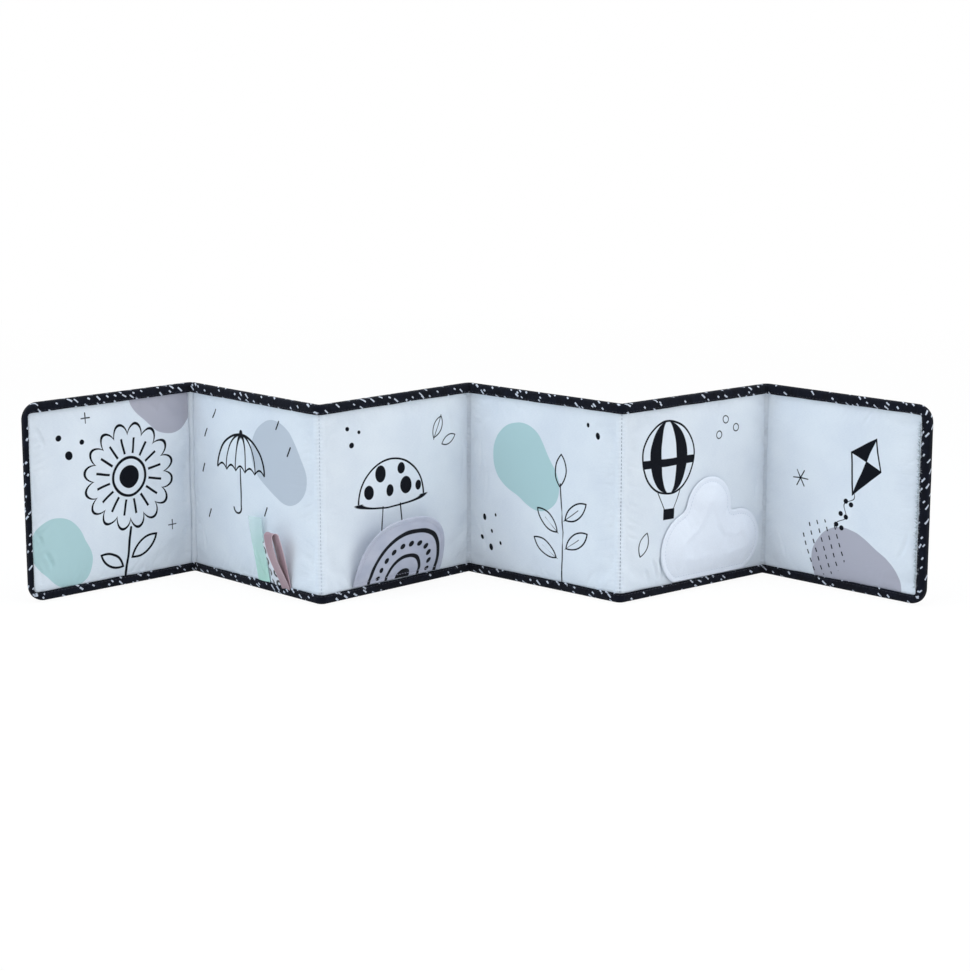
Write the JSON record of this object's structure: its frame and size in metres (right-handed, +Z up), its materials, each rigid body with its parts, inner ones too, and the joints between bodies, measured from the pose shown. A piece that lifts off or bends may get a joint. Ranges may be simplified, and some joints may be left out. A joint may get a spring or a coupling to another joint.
{
  "type": "soft fold-out baby book",
  "caption": "Soft cloth fold-out book standing open in a zigzag: padded panels bound in dashed black tape, with an arch flap, a padded cloud flap and ribbon tags.",
  "frame": {"origin": "centre of the bounding box's bottom face, on the surface the book stands on", "axes": "+X along the row of folds, from the first panel to the last as seen from the printed side; +Y away from the printed side, towards the plain back; +Z up"},
  "size_m": [0.7356, 0.1296, 0.165],
  "materials": {
    "cover": "fine woven cotton, printed on the front faces",
    "pad": "soft fibre wadding, hidden",
    "tape": "matte woven tape, near-black with short white dashes",
    "arch": "fine woven cotton",
    "film": "thin clear film, hidden",
    "cloud": "short soft cotton",
    "mint": "satin ribbon",
    "printed": "satin ribbon",
    "mauve": "satin ribbon"
  },
  "bodies": {
    "panel_1": {"panel_1_pad": "pad", "panel_1_front_cloth": "cover", "panel_1_back_cloth": "cover", "panel_1_binding": "tape", "fold_1_seam": "cover", "fold_1_top_binding": "tape", "fold_1_bottom_binding": "tape"},
    "panel_2": {"panel_2_pad": "pad", "panel_2_front_cloth": "cover", "panel_2_back_cloth": "cover", "panel_2_top_binding": "tape", "panel_2_bottom_binding": "tape", "fold_2_seam": "cover", "fold_2_top_binding": "tape", "fold_2_bottom_binding": "tape", "mint_ribbon": "mint", "printed_ribbon": "printed", "mauve_ribbon": "mauve"},
    "panel_3": {"panel_3_pad": "pad", "panel_3_front_cloth": "cover", "panel_3_back_cloth": "cover", "panel_3_top_binding": "tape", "panel_3_bottom_binding": "tape", "fold_3_seam": "cover", "fold_3_top_binding": "tape", "fold_3_bottom_binding": "tape"},
    "panel_4": {"panel_4_pad": "pad", "panel_4_front_cloth": "cover", "panel_4_back_cloth": "cover", "panel_4_top_binding": "tape", "panel_4_bottom_binding": "tape", "fold_4_seam": "cover", "fold_4_top_binding": "tape", "fold_4_bottom_binding": "tape"},
    "panel_5": {"panel_5_pad": "pad", "panel_5_front_cloth": "cover", "panel_5_back_cloth": "cover", "panel_5_top_binding": "tape", "panel_5_bottom_binding": "tape", "fold_5_seam": "cover", "fold_5_top_binding": "tape", "fold_5_bottom_binding": "tape"},
    "panel_6": {"panel_6_pad": "pad", "panel_6_front_cloth": "cover", "panel_6_back_cloth": "cover", "panel_6_binding": "tape"},
    "arch_flap": {"arch_flap_front_cloth": "arch", "arch_flap_back_cloth": "arch", "arch_flap_crackle_film": "film"},
    "cloud_flap": {"cloud_flap_front_cloth": "cloud", "cloud_flap_back_cloth": "cloud", "cloud_flap_wadding": "pad"}
  },
  "joints": [
    {"name": "fold_1", "type": "hinge", "parent": "panel_2", "child": "panel_1", "pos_m": [-0.24403, 0.05819, 0.0825], "axis": [0, 0, -1], "range_deg": [-75, 89.1], "deforming": ["fold_1_seam", "fold_1_top_binding", "fold_1_bottom_binding"]},
    {"name": "fold_2", "type": "hinge", "parent": "panel_3", "child": "panel_2", "pos_m": [-0.12636, -0.05335, 0.0825], "axis": [0, 0, 1], "range_deg": [-78, 90.5], "deforming": ["fold_2_seam", "fold_2_top_binding", "fold_2_bottom_binding"]},
    {"name": "fold_3", "type": "hinge", "parent": "panel_3", "child": "panel_4", "pos_m": [-0.00657, 0.05591, 0.0825], "axis": [0, 0, 1], "range_deg": [-67, 86.9], "deforming": ["fold_3_seam", "fold_3_top_binding", "fold_3_bottom_binding"]},
    {"name": "fold_4", "type": "hinge", "parent": "panel_4", "child": "panel_5", "pos_m": [0.11787, -0.04802, 0.0825], "axis": [0, 0, -1], "range_deg": [-86, 81.9], "deforming": ["fold_4_seam", "fold_4_top_binding", "fold_4_bottom_binding"]},
    {"name": "fold_5", "type": "hinge", "parent": "panel_5", "child": "panel_6", "pos_m": [0.24673, 0.05038, 0.0825], "axis": [0, 0, 1], "range_deg": [-74, 84.4], "deforming": ["fold_5_seam", "fold_5_top_binding", "fold_5_bottom_binding"]},
    {"name": "arch_flap_hinge", "type": "hinge", "parent": "panel_3", "child": "arch_flap", "pos_m": [-0.06642, -0.00375, 0.0095], "axis": [0.7108, 0.7034, 0], "range_deg": [-13, 73]},
    {"name": "cloud_flap_hinge", "type": "hinge", "parent": "panel_5", "child": "cloud_flap", "pos_m": [0.12229, -0.05334, 0.0095], "axis": [0.7694, 0.6388, 0], "range_deg": [0, 95]}
  ]
}
